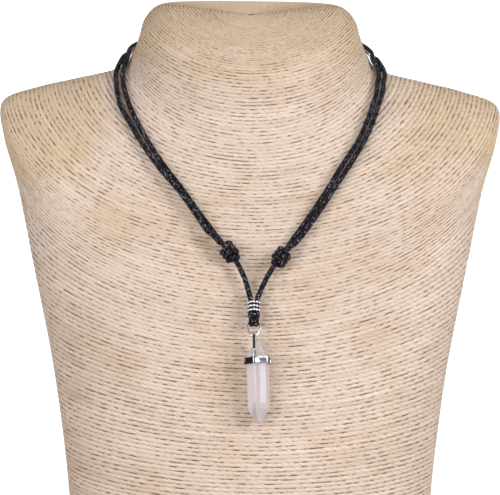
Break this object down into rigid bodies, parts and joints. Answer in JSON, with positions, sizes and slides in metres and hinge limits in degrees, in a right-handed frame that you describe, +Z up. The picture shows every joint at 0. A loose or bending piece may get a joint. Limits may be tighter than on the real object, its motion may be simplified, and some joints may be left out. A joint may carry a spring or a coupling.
{
  "type": "quartz necklace on neck bust",
  "caption": "Hexagonal quartz point in a silver cap and strap, hung by a jump ring from a black cord with sliding knots, on a rope-wound neck bust.",
  "frame": {"origin": "middle of the bust's flat base, on the surface it stands on", "axes": "+Z up the neck, -Y out of the chest towards the viewer, +X to the viewer's right"},
  "size_m": [0.2122, 0.1525, 0.2132],
  "materials": {
    "rope": "twisted natural rope, matt",
    "cord": "waxed, slightly glossy",
    "silver": "polished silver, dark in the recesses",
    "quartz": "polished, milky and translucent"
  },
  "bodies": {
    "display": {"neck_bust": "rope", "cord_left": "cord", "cord_right": "cord", "knot_left": "cord", "knot_right": "cord", "cord_hitch": "cord", "sleeve_bead": "silver", "jump_ring": "silver"},
    "pendant": {"cap": "silver", "quartz_point": "quartz"}
  },
  "joints": [
    {"name": "pendant_swing", "type": "hinge", "parent": "display", "child": "pendant", "pos_m": [0.0015, -0.0614, 0.0747], "axis": [-1, 0, 0], "range_deg": [0, 120]}
  ]
}
